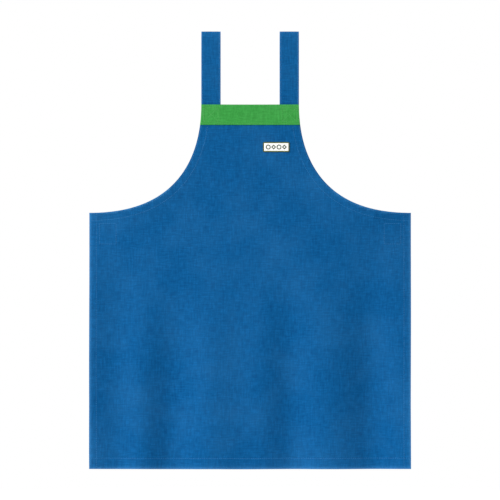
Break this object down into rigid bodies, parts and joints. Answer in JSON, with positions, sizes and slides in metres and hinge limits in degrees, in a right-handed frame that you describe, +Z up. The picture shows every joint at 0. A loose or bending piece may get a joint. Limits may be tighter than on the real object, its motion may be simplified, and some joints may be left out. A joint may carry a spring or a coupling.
{
  "type": "welding apron",
  "caption": "Blue bib apron for welding, with a green band across the bib, two shoulder straps and a hooked waist belt behind.",
  "frame": {"origin": "middle of the top line of the rail (or of the shoulders) on which the two shoulder straps hang", "axes": "+Z up, +Y from the apron's front towards the wearer's back, +X to the right of someone who faces the front"},
  "size_m": [0.8, 0.0578, 1.089],
  "materials": {
    "blue_cloth": "heavy flame-retardant cotton twill, matt",
    "green_cloth": "cotton twill, matt",
    "label_white": "woven satin",
    "label_edge": "overlocked thread",
    "webbing": "woven cotton webbing",
    "steel": "nickel-plated"
  },
  "bodies": {
    "apron": {"apron_panel": "blue_cloth", "armhole_facing_left": "blue_cloth", "armhole_facing_right": "blue_cloth", "bib_band": "green_cloth", "bib_facing": "green_cloth", "name_label": "label_white", "label_border": "label_edge", "shoulder_strap_left": "blue_cloth", "shoulder_strap_right": "blue_cloth", "waist_patch_left": "blue_cloth", "waist_patch_right": "blue_cloth", "waist_tab_left": "webbing", "waist_tab_right": "webbing", "waist_ring_left": "steel", "belt_main": "webbing"},
    "right_ring": {"waist_ring_right": "steel"},
    "short_belt": {"belt_short": "webbing", "belt_hook": "steel"},
    "eye": {"eye_ring": "steel"},
    "left_strap_slider": {"strap_slider_left": "steel"},
    "right_strap_slider": {"strap_slider_right": "steel"},
    "main_belt_slider": {"belt_slider": "steel"}
  },
  "joints": [
    {"name": "right_ring_swing", "type": "hinge", "parent": "apron", "child": "right_ring", "pos_m": [0.362, -0.0167, -0.502], "axis": [0, 0, -1], "range_deg": [0, 60]},
    {"name": "short_belt_swing", "type": "hinge", "parent": "right_ring", "child": "short_belt", "pos_m": [0.346, -0.0167, -0.502], "axis": [0, 0, -1], "range_deg": [0, 90]},
    {"name": "eye_ring_swing", "type": "hinge", "parent": "apron", "child": "eye", "pos_m": [0.176, 0.02535, -0.502], "axis": [0, 0, -1], "range_deg": [0, 80]},
    {"name": "left_strap_adjust", "type": "slide", "parent": "apron", "child": "left_strap_slider", "axis": [0, 0, 1], "range_m": [-0.045, 0.04]},
    {"name": "right_strap_adjust", "type": "slide", "parent": "apron", "child": "right_strap_slider", "axis": [0, 0, 1], "range_m": [-0.045, 0.04]},
    {"name": "belt_adjust", "type": "slide", "parent": "apron", "child": "main_belt_slider", "axis": [0.9803, 0.1975, 0], "range_m": [-0.04, 0.04]}
  ]
}
